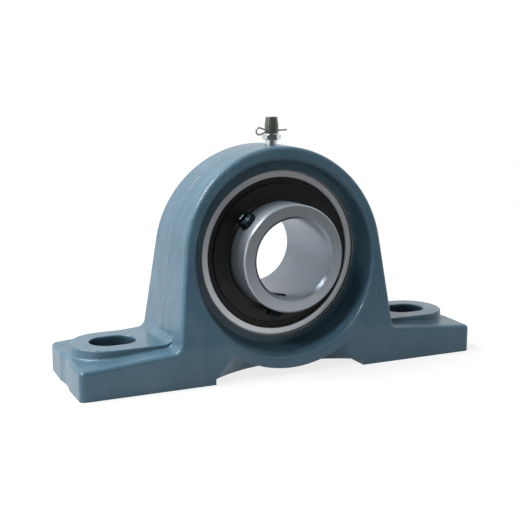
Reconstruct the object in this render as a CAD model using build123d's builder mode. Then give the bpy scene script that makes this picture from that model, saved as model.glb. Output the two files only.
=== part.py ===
"""Pillow block bearing: a cast housing with a set-screw insert bearing and a capped grease nipple.

The origin is at the middle of the base, between the two bolt slots. +X runs along the base,
+Z up and -Y towards the front, the side of the set screws. The shaft runs along Y.
All sizes are in millimetres and all angles in degrees.
"""
import os
from math import copysign, cos, radians, sin, sqrt, tan

from build123d import *

os.makedirs("parts", exist_ok=True)

# ---------------------------------------------------------------- housing casting
shaft_height = 67.0  # sole to shaft axis
base_length = 245.0
base_width = 67.0
ring_radius = 61.5  # round top, at the parting plane
top_width = 36.6  # across the two faces at the very top
leg_flare = 6.9  # lean of each leg's side
foot_end_height = 16.6
foot_root_height = 21.0  # where the foot's sloping top meets the leg
draft = 1.0  # mould draft, both ways from the parting plane
edge_round = 2.5
corner_round = 3.0  # upright corners of the feet
leg_fillet = 4.0
face_blend = 40.0  # bend where the leaning face becomes upright
end_waist_width = 20.0  # shallow hollow in the middle of each end
end_waist_depth = 1.0
end_waist_blend = 8.0
end_overrun = 5.0  # how far the front outline runs past each end before it is trimmed

# ---------------------------------------------------------------- bolt slots and their pads
bolt_inset = 27.5  # from the end of the base to the middle of a slot
slot_width = 20.0
slot_length = 26.0
slot_round = 0.8
pad_height = 22.4
pad_margin = 10.7  # pad round the slot
pad_wall_slope = 6.0
pad_round = 0.8
pad_fillet = 6.0  # from the pad's top up the leg
pad_root_round = 1.2  # where the pad's wall meets the foot
pad_sink = 2.0  # how far the pad's blank reaches below the foot's end height
pad_bury = 0.5  # how far the pad's fillet starts inside the leg's side

# ---------------------------------------------------------------- underside
foot_gap = 93.0  # between the inner ends of the two feet
sole_relief = 3.7  # height of the gap between them
relief_round = 1.0
belly_radius = 63.0
belly_round = 1.0
web_width = 39.2  # in the middle, just below the top of the gap
web_hollow = 82.2  # radius of the web's faces there, seen from above
web_slope = 22.0

# ---------------------------------------------------------------- seat and recess
seat_width = 32.0
seat_clearance = 0.05
recess_radius = 52.2  # at the recess floor
recess_slope = 14.0
recess_round = 3.0
grease_channel_y = -6.5
grease_channel_width = 8.0
grease_channel_depth = 0.8
loading_slot_margin = 0.5
loading_slot_reach = 0.1

# ---------------------------------------------------------------- insert bearing
bearing_diameter = 100.0
outer_ring_width = 30.0
shaft_diameter = 45.0
long_side = 35.0  # inner ring, from the ball plane to the set-screw end
short_side = 22.0
collar_diameter = 61.0
bore_chamfer = 1.5
collar_chamfer = 0.8
ring_chamfer = 0.5
ball_diameter = 17.462
ball_count = 8
pitch_diameter = 72.5
first_ball_angle = 90.0
groove_conformity = 0.52  # raceway radius over ball diameter
race_play = 0.02
outer_shoulder_radius = 41.5
inner_shoulder_radius = 31.0
inner_shoulder_reach = 13.4  # from the ball plane
grease_hole_diameter = 2.5
grease_hole_y = -9.3

# ---------------------------------------------------------------- ball cage
cage_sheet = 1.2
cage_inner_radius = 33.4
cage_outer_radius = 39.1
pocket_play = 0.15
rivet_diameter = 2.5
rivet_head_diameter = 4.2
rivet_head_height = 0.9

# ---------------------------------------------------------------- seals and flingers
seal_seat_radius = 43.5
seal_inner_y = 11.4
seal_thickness = 1.7
seal_bead_height = 0.7
seal_bead_width = 0.9
seal_lip_width = 0.7
seal_lip_gap = 0.1
flinger_radius = 40.1
flinger_sheet = 0.9
flinger_gap = 0.4  # between the seal and the flinger's disc
flinger_hub_length = 3.4
flinger_bend = 0.8

# ---------------------------------------------------------------- set screws
screw_diameter = 10.0
screw_length = 12.0
screw_play = 0.05
screw_face_distance = 12.0  # from the inner ring's long end
screw_tip_gap = 0.3  # tip above the bore
screw_angles = (138.0, 258.0)
screw_chamfer = 1.2
screw_cup_diameter = 5.0
screw_cup_depth = 1.4
screw_cup_taper = 60.0
socket_across_flats = 5.0
socket_depth = 5.0

# ---------------------------------------------------------------- grease nipple, cap and split pin
nipple_y = -4.0
nipple_thread_diameter = 8.0
nipple_thread_length = 8.5
nipple_thread_play = 0.03
nipple_neck_diameter = 7.0
nipple_neck_height = 2.7  # above the round top
nipple_hex_flats = 9.5
nipple_hex_turn = -21.0
nipple_hex_height = 3.2
nipple_hex_chamfer_width = 1.0  # in from each corner
nipple_hex_chamfer_height = 0.5
nipple_stem_diameter = 4.5
nipple_stem_height = 3.0
nipple_head_diameter = 6.4
nipple_head_collar = 1.0
nipple_head_height = 3.8
nipple_tip_diameter = 3.8
nipple_passage_diameter = 1.4
nipple_chamber_diameter = 2.4
nipple_chamber_floor = 0.4  # below the underside of the head
nipple_mouth_diameter = 1.5
nipple_mouth_length = 0.5
nipple_oil_hole_diameter = 4.0
valve_ball_diameter = 2.0
valve_play = 0.02
spring_wire = 0.25
spring_coils = 4
spring_diameter = 1.9
cap_gap = 0.3
cap_diameter = 8.0
cap_straight_height = 4.8
cap_height = 9.5
cap_top_diameter = 6.7
cap_top_round = 0.5
cap_bore_diameter = 6.6
cap_roof = 1.6
pin_diameter = 1.0
pin_hole_play = 0.05
pin_offset = 2.9  # beside the nipple's stem
pin_height = 2.1  # above the hexagon
pin_tilt = 2.2  # rise towards the tip
pin_tip = 8.2  # along the pin, from the nipple's axis
pin_neck = -3.4
pin_eye = -8.95
pin_eye_radius = 1.95
pin_eye_wire = 0.9
pin_slit = 0.14

# ---------------------------------------------------------------- limits for picking edges and corners
near = 0.05
steep = 0.5
rim_reach = 2.0  # how far a rim lies inside the faces it joins

# ---------------------------------------------------------------- derived sizes and planes
half_length = base_length / 2
half_width = base_width / 2
top_height = shaft_height + ring_radius
lean = radians(leg_flare)
bolt_x = half_length - bolt_inset
slot_round_x = bolt_x + (slot_length - slot_width) / 2
pad_radius = slot_width / 2 + pad_margin
seat_radius = bearing_diameter / 2 + seat_clearance
ball_radius = ball_diameter / 2
pitch_radius = pitch_diameter / 2
race_radius = groove_conformity * ball_diameter
bore_radius = shaft_diameter / 2
collar_radius = collar_diameter / 2
nipple_base = top_height

shaft_plane = Plane(origin=(0, 0, shaft_height), x_dir=(1, 0, 0), z_dir=(0, -1, 0))
axial_plane = Plane(origin=(0, 0, shaft_height), x_dir=(0, 1, 0), z_dir=(1, 0, 0))
shaft_axis = Axis((0, 0, shaft_height), (0, 1, 0))
nipple_plane = Plane(origin=(0, nipple_y, 0), x_dir=(1, 0, 0), z_dir=(0, -1, 0))
nipple_axis = Axis((0, nipple_y, 0), (0, 0, 1))


def leg_side(height):
    """Half width across the legs at a height above the sole, below the round top."""
    return (ring_radius + (shaft_height - height) * sin(lean)) / cos(lean)


def outward(angle):
    """Direction away from the shaft at an angle round it."""
    return (cos(radians(angle)), 0, sin(radians(angle)))


def from_shaft(point):
    """Distance of a point from the shaft axis."""
    return sqrt(point.X**2 + (point.Z - shaft_height) ** 2)


def from_pad_wall(point):
    """Distance of a point from the sloping wall of a pad, along the level."""
    out = sqrt(max(abs(point.X) - slot_round_x, 0) ** 2 + point.Y**2)
    return out - pad_radius - (pad_height - point.Z) * tan(radians(pad_wall_slope))


def finish(builder, name):
    """Label a finished sub-part and write it as one STEP file."""
    builder.part.label = name
    export_step(builder.part, f"parts/{name}.step")


# ================================================================ housing
# The raised pad round one bolt slot, which runs up the leg in a fillet.
pad_floor = foot_end_height - pad_sink
pad_blank_top = pad_height + 2 * pad_fillet
pad_floor_radius = pad_radius + (pad_height - pad_floor) * tan(radians(pad_wall_slope))
pad_root = leg_side(pad_height) - pad_bury
pad_inside = pad_root - pad_fillet

with BuildPart() as pad:
    with BuildSketch(Plane.XY.offset(pad_floor)):
        with Locations((slot_round_x, 0)):
            Circle(pad_floor_radius)
        with Locations(((pad_inside + slot_round_x) / 2, 0)):
            Rectangle(slot_round_x - pad_inside, 2 * pad_floor_radius)
    extrude(amount=pad_blank_top - pad_floor, taper=pad_wall_slope)
    with BuildSketch(Plane.XZ) as above_pad:
        with BuildLine():
            Polyline(
                (pad_root - (pad_blank_top - pad_height) * tan(lean), pad_blank_top),
                (pad_root, pad_height),
                (base_length, pad_height),
                (base_length, pad_blank_top),
                close=True,
            )
        make_face()
        fillet(above_pad.vertices().group_by(Axis.Y)[0].sort_by(Axis.X)[0], pad_fillet)
    extrude(amount=base_width, both=True, mode=Mode.SUBTRACT)
    arcs = pad.edges().filter_by(GeomType.CIRCLE)
    rim = arcs.filter_by(lambda e: e.center().Z > pad_floor + near)
    fillet(rim.sort_by(Axis.X)[-1], pad_round)

# The cores that leave the hollows between the feet, in front of the web and behind it.
web_level = sole_relief - relief_round / 2
with BuildPart() as web_cores:
    for side in (-1, 1):
        with BuildSketch(Plane.XY.offset(web_level)):
            with Locations((0, side * (web_width / 2 + web_hollow))):
                Circle(web_hollow)
        extrude(amount=shaft_height / 2, taper=web_slope)
    with BuildSketch(shaft_plane):
        Circle(belly_radius)
    extrude(amount=2 * web_hollow, both=True, mode=Mode.SUBTRACT)

with BuildPart() as housing:
    # Front outline, drafted both ways from the parting plane.
    leg_root = leg_side(foot_root_height)
    tangent_x = ring_radius * cos(lean)
    tangent_z = shaft_height + ring_radius * sin(lean)
    below = -edge_round
    foot_slope = (foot_root_height - foot_end_height) / (half_length - leg_root)
    overrun_x = half_length + end_overrun
    overrun_z = foot_end_height - end_overrun * foot_slope
    with BuildSketch(Plane.XZ) as outline:
        with BuildLine():
            Polyline(
                (0, below),
                (overrun_x, below),
                (overrun_x, overrun_z),
                (leg_root, foot_root_height),
                (tangent_x, tangent_z),
            )
            ThreePointArc((tangent_x, tangent_z), (0, top_height), (-tangent_x, tangent_z))
            Polyline(
                (-tangent_x, tangent_z),
                (-leg_root, foot_root_height),
                (-overrun_x, overrun_z),
                (-overrun_x, below),
                (0, below),
            )
        make_face()
        roots = outline.vertices().filter_by(lambda v: abs(v.Y - foot_root_height) < near)
        fillet(roots, leg_fillet)
    extrude(amount=half_width, both=True, taper=draft)

    # Side outline: upright feet, then faces that lean in towards the top.
    with BuildSketch(Plane.YZ) as side_view:
        with BuildLine():
            Polyline(
                (-half_width, 0),
                (half_width, 0),
                (half_width, foot_root_height),
                (top_width / 2, top_height),
                (-top_width / 2, top_height),
                (-half_width, foot_root_height),
                close=True,
            )
        make_face()
        bends = side_view.vertices().filter_by(lambda v: abs(v.Y - foot_root_height) < near)
        fillet(bends, face_blend)
    extrude(amount=base_length, both=True, mode=Mode.INTERSECT)

    # Plan outline: rounded corners, and ends with a shallow hollow in the middle.
    waist_y = end_waist_width / 2
    corner_x = half_length - (half_width - waist_y) * tan(radians(draft))
    with BuildSketch(Plane.XY) as plan:
        with BuildLine():
            for end in (-half_length, half_length):
                hollow_x = end - copysign(end_waist_depth, end)
                ThreePointArc((end, -waist_y), (hollow_x, 0), (end, waist_y))
                Line((end, waist_y), (copysign(corner_x, end), half_width))
                Line((end, -waist_y), (copysign(corner_x, end), -half_width))
            Line((-corner_x, half_width), (corner_x, half_width))
            Line((-corner_x, -half_width), (corner_x, -half_width))
        make_face()
        fillet(plan.vertices().filter_by(lambda v: abs(v.Y) > half_width - near), corner_round)
        fillet(plan.vertices().filter_by(lambda v: abs(v.Y) < waist_y + near), end_waist_blend)
    extrude(amount=2 * shaft_height, mode=Mode.INTERSECT)

    upper_rim = housing.edges().filter_by(
        lambda e: e.center().Z > foot_end_height - rim_reach
        and abs(e.center().Y) > top_width / 2 - rim_reach
        and e.bounding_box().size.X < 2 * ring_radius
        or e.center().Z > foot_end_height - rim_reach
        and abs(e.center().X) > half_length - end_waist_depth - near
    )
    fillet(upper_rim, edge_round)

    for side in (-1, 1):
        add(pad.part if side > 0 else mirror(pad.part, about=Plane.YZ))
    pad_roots = housing.edges().filter_by(
        lambda e: e.center().Z < pad_height - 2 * pad_round
        and abs((e % 0.5).Z) < steep
        and max(abs(from_pad_wall(e @ share)) for share in (0, 0.5, 1)) < near
    )
    fillet(pad_roots, pad_root_round)

    # Gap between the feet, and the hollows beside the web.
    with BuildSketch(Plane.XZ) as gap_outline:
        Rectangle(foot_gap, 2 * sole_relief)
        fillet(gap_outline.vertices().group_by(Axis.Y)[-1], relief_round)
    extrude(amount=base_width, both=True, mode=Mode.SUBTRACT)
    add(web_cores.part, mode=Mode.SUBTRACT)
    belly_rims = housing.edges().filter_by(
        lambda e: abs(from_shaft(e @ 0.5) - belly_radius) < near
        and abs(abs((e @ 0.5).Y) - half_width) < near
    )
    fillet(belly_rims, belly_round)

    # Bolt slots.
    with BuildSketch(Plane.XY):
        with Locations((-bolt_x, 0), (bolt_x, 0)):
            SlotOverall(slot_length, slot_width)
    extrude(amount=shaft_height, mode=Mode.SUBTRACT)
    slot_rims = housing.edges().filter_by(
        lambda e: abs(e.center().Z - pad_height) < near
        and abs(abs(e.center().X) - bolt_x) < slot_length / 2
        and abs(e.center().Y) < slot_width / 2 + near
    )
    fillet(slot_rims, slot_round)

    # Recesses round the bearing, with a sloping wall, then the spherical seat.
    recess_mouth = recess_radius + (base_width - seat_width / 2) * tan(radians(recess_slope))
    widest_mouth = recess_radius + (half_width - seat_width / 2) * tan(radians(recess_slope))
    with BuildSketch(axial_plane) as recess_profile:
        for side in (-1, 1):
            with BuildLine():
                Polyline(
                    (side * seat_width / 2, 0),
                    (side * seat_width / 2, recess_radius),
                    (side * base_width, recess_mouth),
                    (side * base_width, 0),
                    close=True,
                )
            make_face()
    revolve(axis=shaft_axis, mode=Mode.SUBTRACT)
    mouths = housing.edges().filter_by(
        lambda e: e.geom_type != GeomType.LINE
        and recess_radius + near < from_shaft(e @ 0) < widest_mouth + near
        and recess_radius + near < from_shaft(e @ 1) < widest_mouth + near
    )
    fillet(mouths, recess_round)
    with Locations(shaft_plane):
        Sphere(seat_radius, mode=Mode.SUBTRACT)

    # Grease channel in the seat, and the hole that feeds it from the nipple.
    with BuildSketch(axial_plane):
        with Locations((grease_channel_y, 0)):
            Rectangle(
                grease_channel_width, seat_radius + grease_channel_depth, align=(Align.CENTER, Align.MIN)
            )
    revolve(axis=shaft_axis, mode=Mode.SUBTRACT)
    with BuildSketch(Plane.XY.offset(top_height - nipple_thread_length)):
        with Locations((0, nipple_y)):
            Circle(nipple_thread_diameter / 2 + nipple_thread_play)
    extrude(amount=2 * nipple_thread_length, mode=Mode.SUBTRACT)
    with BuildSketch(Plane.XY.offset(shaft_height + seat_radius)):
        with Locations((0, nipple_y)):
            Circle(nipple_oil_hole_diameter / 2)
    extrude(amount=ring_radius - seat_radius, mode=Mode.SUBTRACT)

    # Two loading slots behind, through which the insert goes in crosswise.
    loading_reach = seat_radius + loading_slot_reach
    with BuildSketch(shaft_plane):
        Rectangle(2 * loading_reach, outer_ring_width + 2 * loading_slot_margin)
    extrude(amount=-seat_width, mode=Mode.SUBTRACT)
finish(housing, "housing")

# ================================================================ outer ring
outer_face_radius = sqrt((bearing_diameter / 2) ** 2 - (outer_ring_width / 2) ** 2)
outer_race_bottom = pitch_radius + ball_radius + race_play
outer_race_edge = sqrt(race_radius**2 - (outer_shoulder_radius - outer_race_bottom + race_radius) ** 2)
snap_outer_y = seal_inner_y + seal_thickness - (seal_thickness - seal_bead_width) / 2
snap_inner_y = snap_outer_y - seal_bead_width

with BuildPart() as outer_ring:
    with BuildSketch(axial_plane) as outer_profile:
        with BuildLine():
            face = outer_ring_width / 2
            ThreePointArc((-face, outer_face_radius), (0, bearing_diameter / 2), (face, outer_face_radius))
            ThreePointArc(
                (-outer_race_edge, outer_shoulder_radius),
                (0, outer_race_bottom),
                (outer_race_edge, outer_shoulder_radius),
            )
            for side in (-1, 1):
                Polyline(
                    (side * face, outer_face_radius),
                    (side * face, seal_seat_radius),
                    (side * snap_outer_y, seal_seat_radius),
                    (side * snap_outer_y, seal_seat_radius + seal_bead_height),
                    (side * snap_inner_y, seal_seat_radius + seal_bead_height),
                    (side * snap_inner_y, seal_seat_radius),
                    (side * seal_inner_y, seal_seat_radius),
                    (side * seal_inner_y, outer_shoulder_radius),
                    (side * outer_race_edge, outer_shoulder_radius),
                )
        make_face()
        rims = outer_profile.vertices().filter_by(lambda v: abs(abs(v.X) - face) < near)
        chamfer(rims, ring_chamfer)
    revolve(axis=shaft_axis)
    with BuildSketch(Plane.XY.offset(shaft_height)):
        with Locations((0, grease_hole_y)):
            Circle(grease_hole_diameter / 2)
    extrude(amount=bearing_diameter, both=True, mode=Mode.SUBTRACT)
finish(outer_ring, "outer_ring")

# ================================================================ inner ring
inner_race_bottom = pitch_radius - ball_radius - race_play
inner_race_edge = sqrt(race_radius**2 - (inner_race_bottom + race_radius - inner_shoulder_radius) ** 2)
screw_y = screw_face_distance - long_side

with BuildPart() as inner_ring:
    with BuildSketch(axial_plane) as inner_profile:
        with BuildLine():
            Polyline(
                (-inner_race_edge, inner_shoulder_radius),
                (-inner_shoulder_reach, inner_shoulder_radius),
                (-inner_shoulder_reach, collar_radius),
                (-long_side, collar_radius),
                (-long_side, bore_radius),
                (short_side, bore_radius),
                (short_side, collar_radius),
                (inner_shoulder_reach, collar_radius),
                (inner_shoulder_reach, inner_shoulder_radius),
                (inner_race_edge, inner_shoulder_radius),
            )
            ThreePointArc(
                (inner_race_edge, inner_shoulder_radius),
                (0, inner_race_bottom),
                (-inner_race_edge, inner_shoulder_radius),
            )
        make_face()
        ends = inner_profile.vertices().filter_by(lambda v: v.X in (-long_side, short_side))
        chamfer(ends.filter_by(lambda v: v.Y < collar_radius - near), bore_chamfer)
        ends = inner_profile.vertices().filter_by(
            lambda v: abs(v.Y - collar_radius) < near and v.X in (-long_side, short_side)
        )
        chamfer(ends, collar_chamfer)
    revolve(axis=shaft_axis)
    for angle in screw_angles:
        with BuildSketch(Plane(origin=(0, screw_y, shaft_height), x_dir=(0, 1, 0), z_dir=outward(angle))):
            Circle(screw_diameter / 2 + screw_play)
        extrude(amount=2 * collar_radius, mode=Mode.SUBTRACT)
finish(inner_ring, "inner_ring")

# ================================================================ balls
ball_turn = (90, 0, 0)  # poles on the spin axis
for number in range(ball_count):
    place = radians(first_ball_angle + number * 360 / ball_count)
    centre = (pitch_radius * cos(place), 0, shaft_height + pitch_radius * sin(place))
    with BuildPart() as ball:
        with Locations(centre):
            Sphere(ball_radius, rotation=ball_turn)
    finish(ball, f"ball_{number + 1}")

# ================================================================ ball cage
# A pressed ribbon: flat bridges between the balls and a cup round each of them.
pocket_radius = ball_radius + pocket_play
cup_radius = pocket_radius + cage_sheet
bridge_angle = first_ball_angle + 180 / ball_count

with BuildPart() as cage_front:
    with BuildSketch(shaft_plane):
        Circle(cage_outer_radius)
        Circle(cage_inner_radius, mode=Mode.SUBTRACT)
    extrude(amount=cage_sheet)
    with Locations(shaft_plane):
        with PolarLocations(pitch_radius, ball_count, start_angle=first_ball_angle):
            Sphere(cup_radius)
    with BuildSketch(shaft_plane):
        Circle(cage_outer_radius)
        Circle(cage_inner_radius, mode=Mode.SUBTRACT)
    extrude(amount=2 * cup_radius, mode=Mode.INTERSECT)
    with Locations(shaft_plane):
        with PolarLocations(pitch_radius, ball_count, start_angle=first_ball_angle):
            Sphere(pocket_radius, mode=Mode.SUBTRACT)
    with BuildSketch(shaft_plane):
        with PolarLocations(pitch_radius, ball_count, start_angle=bridge_angle):
            Circle(rivet_diameter / 2)
    extrude(amount=cage_sheet, mode=Mode.SUBTRACT)
finish(cage_front, "cage_front")

with BuildPart() as cage_rear:
    add(mirror(cage_front.part, about=Plane.XZ))
finish(cage_rear, "cage_rear")

with BuildPart() as cage_rivets:
    with BuildSketch(shaft_plane.offset(-cage_sheet)):
        with PolarLocations(pitch_radius, ball_count, start_angle=bridge_angle):
            Circle(rivet_diameter / 2)
    extrude(amount=2 * cage_sheet)
    for side in (-1, 1):
        with BuildSketch(shaft_plane.offset(side * cage_sheet)):
            with PolarLocations(pitch_radius, ball_count, start_angle=bridge_angle):
                Circle(rivet_head_diameter / 2)
        extrude(amount=side * rivet_head_height)
    head_rims = cage_rivets.edges().filter_by(
        lambda e: abs(abs(e.center().Y) - cage_sheet - rivet_head_height) < near
    )
    chamfer(head_rims, rivet_head_height / 2)
finish(cage_rivets, "cage_rivets")

# ================================================================ seals
# Each seal snaps into the outer ring and its lip runs on the inner ring's shoulder.
seal_outer_y = seal_inner_y + seal_thickness
lip_radius = inner_shoulder_radius + seal_lip_gap
lip_inner_y = snap_inner_y - seal_lip_width

with BuildPart() as seal_rear:
    with BuildSketch(axial_plane) as seal_profile:
        with BuildLine():
            Polyline(
                (seal_outer_y, seal_seat_radius),
                (snap_outer_y, seal_seat_radius),
                (snap_outer_y, seal_seat_radius + seal_bead_height),
                (snap_inner_y, seal_seat_radius + seal_bead_height),
                (snap_inner_y, seal_seat_radius),
                (seal_inner_y, seal_seat_radius),
                (seal_inner_y, lip_radius + 2 * seal_thickness),
                (lip_inner_y, lip_radius),
                (lip_inner_y + seal_lip_width, lip_radius),
                (seal_outer_y - seal_lip_width, lip_radius + seal_thickness),
                (seal_outer_y, lip_radius + 2 * seal_thickness),
                close=True,
            )
        make_face()
    revolve(axis=shaft_axis)
finish(seal_rear, "seal_rear")

with BuildPart() as seal_front:
    add(mirror(seal_rear.part, about=Plane.XZ))
finish(seal_front, "seal_front")

# ================================================================ flingers
# A pressed disc outside each seal, with a hub that grips the inner ring.
flinger_inner_y = seal_outer_y + flinger_gap
hub_end_y = flinger_inner_y + flinger_hub_length

with BuildPart() as flinger_rear:
    with BuildSketch(axial_plane) as flinger_profile:
        with BuildLine():
            Polyline(
                (flinger_inner_y, collar_radius),
                (hub_end_y, collar_radius),
                (hub_end_y, collar_radius + flinger_sheet),
                (flinger_inner_y + flinger_sheet, collar_radius + flinger_sheet),
                (flinger_inner_y + flinger_sheet, flinger_radius),
                (flinger_inner_y, flinger_radius),
                close=True,
            )
        make_face()
        bend = flinger_profile.vertices().filter_by(
            lambda v: abs(v.X - flinger_inner_y - flinger_sheet) < near
            and abs(v.Y - collar_radius - flinger_sheet) < near
        )
        fillet(bend, flinger_bend)
        rim_corner = flinger_profile.vertices().group_by(Axis.Y)[-1].sort_by(Axis.X)[-1]
        fillet(rim_corner, flinger_sheet / 2)
    revolve(axis=shaft_axis)
finish(flinger_rear, "flinger_rear")

with BuildPart() as flinger_front:
    add(mirror(flinger_rear.part, about=Plane.XZ))
finish(flinger_front, "flinger_front")

# ================================================================ set screws
screw_tip = bore_radius + screw_tip_gap

for number, angle in enumerate(screw_angles, start=1):
    screw_plane = Plane(origin=(0, screw_y, shaft_height), x_dir=(0, 1, 0), z_dir=outward(angle))
    with BuildPart() as set_screw:
        with BuildSketch(screw_plane.offset(screw_tip)):
            Circle(screw_diameter / 2)
        extrude(amount=screw_length)
        ends = set_screw.edges().filter_by(GeomType.CIRCLE)
        chamfer(ends, screw_chamfer)
        with BuildSketch(screw_plane.offset(screw_tip)):
            Circle(screw_cup_diameter / 2)
        extrude(amount=screw_cup_depth, taper=screw_cup_taper, mode=Mode.SUBTRACT)
        with BuildSketch(screw_plane.offset(screw_tip + screw_length)):
            RegularPolygon(socket_across_flats / 2, 6, major_radius=False)
        extrude(amount=-socket_depth, mode=Mode.SUBTRACT)
    finish(set_screw, f"set_screw_{number}")

# ================================================================ grease nipple
hex_bottom = nipple_base + nipple_neck_height
hex_top = hex_bottom + nipple_hex_height
head_bottom = hex_top + nipple_stem_height
head_top = head_bottom + nipple_head_height
chamber_floor = head_bottom - nipple_chamber_floor
chamber_top = head_top - nipple_mouth_length

with BuildPart() as nipple_body:
    with BuildSketch(nipple_plane):
        with BuildLine():
            Polyline(
                (0, top_height - nipple_thread_length),
                (nipple_thread_diameter / 2, top_height - nipple_thread_length),
                (nipple_thread_diameter / 2, nipple_base - nipple_neck_height),
                (nipple_neck_diameter / 2, nipple_base - nipple_neck_height / 2),
                (nipple_neck_diameter / 2, hex_top),
                (nipple_stem_diameter / 2, hex_top),
                (nipple_stem_diameter / 2, head_bottom),
                (nipple_head_diameter / 2, head_bottom),
                (nipple_head_diameter / 2, head_bottom + nipple_head_collar),
                (nipple_tip_diameter / 2, head_top),
                (0, head_top),
                close=True,
            )
        make_face()
    revolve(axis=nipple_axis)
    with BuildSketch(Plane.XY.offset(hex_bottom)):
        with Locations((0, nipple_y)):
            RegularPolygon(nipple_hex_flats / 2, 6, major_radius=False, rotation=nipple_hex_turn)
    extrude(amount=nipple_hex_height)
    # Cone that takes the hexagon's sharp corners off, above and below.
    with BuildSketch(nipple_plane) as corner_cut:
        hex_corner = nipple_hex_flats / sqrt(3)
        for level, inward in ((hex_bottom, 1), (hex_top, -1)):
            with BuildLine():
                Polyline(
                    (hex_corner - nipple_hex_chamfer_width, level),
                    (hex_corner + nipple_hex_chamfer_width, level + 2 * inward * nipple_hex_chamfer_height),
                    (hex_corner + nipple_hex_chamfer_width, level),
                    close=True,
                )
            make_face()
    revolve(axis=nipple_axis, mode=Mode.SUBTRACT)
    # Passage, valve chamber and mouth.
    for diameter, low, high in (
        (nipple_passage_diameter, top_height - nipple_thread_length, chamber_floor),
        (nipple_chamber_diameter, chamber_floor, chamber_top),
        (nipple_mouth_diameter, chamber_top, head_top),
    ):
        with BuildSketch(Plane.XY.offset(low)):
            with Locations((0, nipple_y)):
                Circle(diameter / 2)
        extrude(amount=high - low, mode=Mode.SUBTRACT)
finish(nipple_body, "nipple_body")

# Valve ball under the mouth, held up by a coil spring.
valve_radius = valve_ball_diameter / 2
valve_drop = sqrt(valve_radius**2 - (nipple_mouth_diameter / 2) ** 2)
valve_centre = chamber_top - valve_drop - valve_play

with BuildPart() as nipple_ball:
    with Locations((0, nipple_y, valve_centre)):
        Sphere(valve_radius)
finish(nipple_ball, "nipple_ball")

# The top coil's wire touches the ball beside its lowest point.
spring_radius = (spring_diameter - spring_wire) / 2
spring_foot = chamber_floor + spring_wire / 2 + valve_play
spring_top = valve_centre - sqrt((valve_radius + spring_wire / 2) ** 2 - spring_radius**2) - valve_play
spring_length = spring_top - spring_foot
spring_pitch = spring_length / spring_coils
spring_centre = (0, nipple_y, spring_foot)
coil_line = Pos(*spring_centre) * Helix(pitch=spring_pitch, height=spring_length, radius=spring_radius)

with BuildPart() as nipple_spring:
    with BuildSketch(Plane(origin=coil_line @ 0, z_dir=coil_line % 0)):
        Circle(spring_wire / 2)
    sweep(path=coil_line, is_frenet=True)
finish(nipple_spring, "nipple_spring")

# ================================================================ cap and split pin
cap_bottom = hex_top + cap_gap
cap_top = cap_bottom + cap_height
pin_y = nipple_y - pin_offset
pin_z = hex_top + pin_height
pin_radius = pin_diameter / 2
pin_way = (cos(radians(pin_tilt)), 0, sin(radians(pin_tilt)))
pin_side = Plane(origin=(0, pin_y, pin_z), x_dir=pin_way, z_dir=(0, -1, 0))
pin_section = Plane(origin=(0, pin_y, pin_z), x_dir=(0, 1, 0), z_dir=pin_way)

with BuildPart() as nipple_cap:
    with BuildSketch(nipple_plane) as cap_profile:
        with BuildLine():
            Polyline(
                (cap_bore_diameter / 2, cap_bottom),
                (cap_diameter / 2, cap_bottom),
                (cap_diameter / 2, cap_bottom + cap_straight_height),
                (cap_top_diameter / 2, cap_top),
                (0, cap_top),
                (0, cap_top - cap_roof),
                (cap_bore_diameter / 2 - cap_roof, cap_top - cap_roof),
                (cap_bore_diameter / 2, head_top - nipple_head_collar),
                close=True,
            )
        make_face()
        top_corner = cap_profile.vertices().group_by(Axis.Y)[-1].sort_by(Axis.X)[-1]
        fillet(top_corner, cap_top_round)
    revolve(axis=nipple_axis)
    with BuildSketch(pin_section):
        Circle(pin_radius + pin_hole_play)
    extrude(amount=cap_diameter, both=True, mode=Mode.SUBTRACT)
finish(nipple_cap, "nipple_cap")

# The eye is a bent wire whose two straight runs meet in the legs. Its lower half is mirrored.
eye_reach = pin_neck - pin_eye
eye_lean = pin_eye_radius / eye_reach
eye_rise = pin_eye_radius * sqrt(1 - eye_lean**2)
eye_advance = pin_eye_radius * eye_lean
eye_shoulder = pin_eye_radius / sqrt(2)

with BuildLine(pin_side) as eye_path:
    Line((pin_neck, 0), (pin_eye + eye_advance, eye_rise))
    ThreePointArc(
        (pin_eye + eye_advance, eye_rise),
        (pin_eye - eye_shoulder, eye_shoulder),
        (pin_eye - pin_eye_radius, 0),
    )

with BuildPart() as split_pin:
    with BuildSketch(eye_path.line ^ 0):
        Circle(pin_eye_wire / 2)
    sweep(path=eye_path.line)
    mirror(about=Plane(origin=(0, pin_y, pin_z), x_dir=pin_way, z_dir=pin_side.y_dir))
    with BuildSketch(pin_section.offset(pin_neck - pin_radius)):
        Circle(pin_radius)
    extrude(amount=pin_tip - pin_neck + pin_radius)
    # The two halves of the wire part where they leave the cap.
    with BuildSketch(pin_side):
        with Locations(((pin_tip + cap_diameter) / 2, 0)):
            Rectangle(pin_tip, pin_slit)
    extrude(amount=half_width, both=True, mode=Mode.SUBTRACT)
finish(split_pin, "split_pin")
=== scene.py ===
"""Looks of a two-bolt pillow block with a set-screw insert bearing.

Lengths are in metres in the frame of the solids: the origin is at the middle of the base,
+X along the base, +Z up and -Y towards the side of the set screws. The shaft runs along Y.
"""
import logging
from dataclasses import dataclass
from enum import Enum
from math import cos, pi, radians, sin
from typing import Any, Mapping, Sequence, Union

import bpy
from mathutils import Matrix, Vector


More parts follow.
